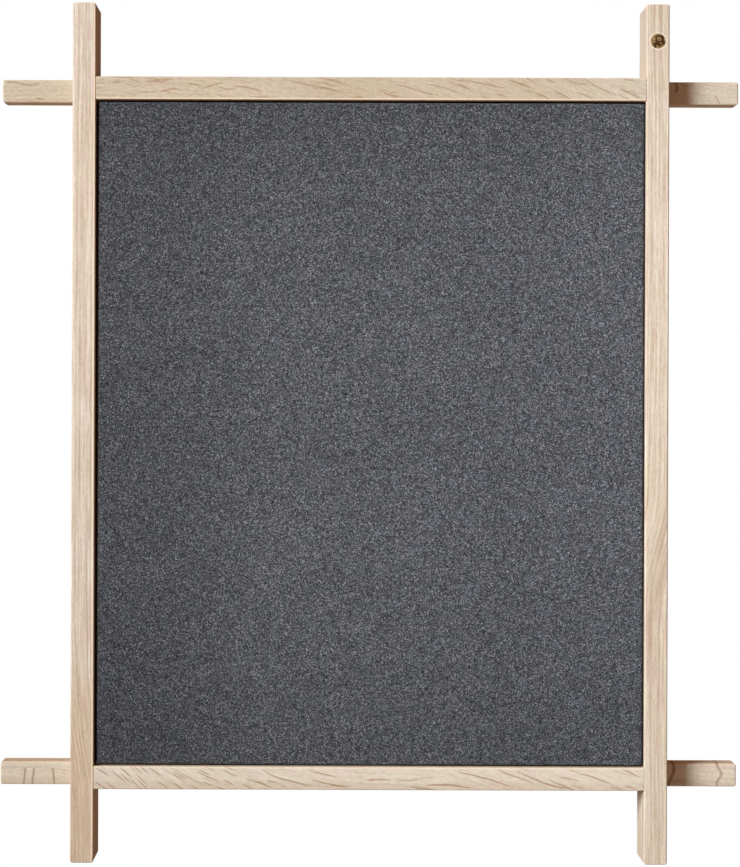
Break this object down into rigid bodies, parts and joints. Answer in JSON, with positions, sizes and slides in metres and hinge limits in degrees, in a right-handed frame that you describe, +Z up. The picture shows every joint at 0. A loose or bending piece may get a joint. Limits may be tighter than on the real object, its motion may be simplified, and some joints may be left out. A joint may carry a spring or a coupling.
{
  "type": "pin board",
  "caption": "Wall-hung pin board: a fabric-covered soft panel in a frame of crossed oak bars whose ends run on past half-lap joints, with keyhole hangers let into the back.",
  "frame": {"origin": "on the wall plane, midway between the two screws that the board hangs on, at the tops of the keyhole slots", "axes": "+X to the right as seen from the front, +Y into the wall, +Z up; the front faces -Y"},
  "size_m": [0.545, 0.0323, 0.63],
  "materials": {
    "oak_stile": "pale oiled oak, satin",
    "oak_rail": "pale oiled oak, satin",
    "wool_felt": "melange wool, matt",
    "softboard": "soft fibre board, matt",
    "hardboard": "smooth hardboard",
    "zinc_steel": "bright zinc plated",
    "brass": "polished, aged"
  },
  "bodies": {
    "root": {"left_stile": "oak_stile", "right_stile": "oak_stile", "top_rail": "oak_rail", "bottom_rail": "oak_rail", "lap_screw_top_left": "zinc_steel", "lap_screw_bottom_left": "zinc_steel", "lap_screw_top_right": "zinc_steel", "lap_screw_bottom_right": "zinc_steel", "fabric_cover": "wool_felt", "softboard_core": "softboard", "backing_board": "hardboard", "backing_screw_01": "zinc_steel", "backing_screw_02": "zinc_steel", "backing_screw_03": "zinc_steel", "backing_screw_04": "zinc_steel", "backing_screw_05": "zinc_steel", "backing_screw_06": "zinc_steel", "backing_screw_07": "zinc_steel", "backing_screw_08": "zinc_steel", "backing_screw_09": "zinc_steel", "backing_screw_10": "zinc_steel", "backing_screw_11": "zinc_steel", "backing_screw_12": "zinc_steel", "left_hanger_plate": "zinc_steel", "left_hanger_screw_lower": "zinc_steel", "left_hanger_screw_upper": "zinc_steel", "right_hanger_plate": "zinc_steel", "right_hanger_screw_lower": "zinc_steel", "right_hanger_screw_upper": "zinc_steel", "brass_disc": "brass"}
  },
  "joints": []
}
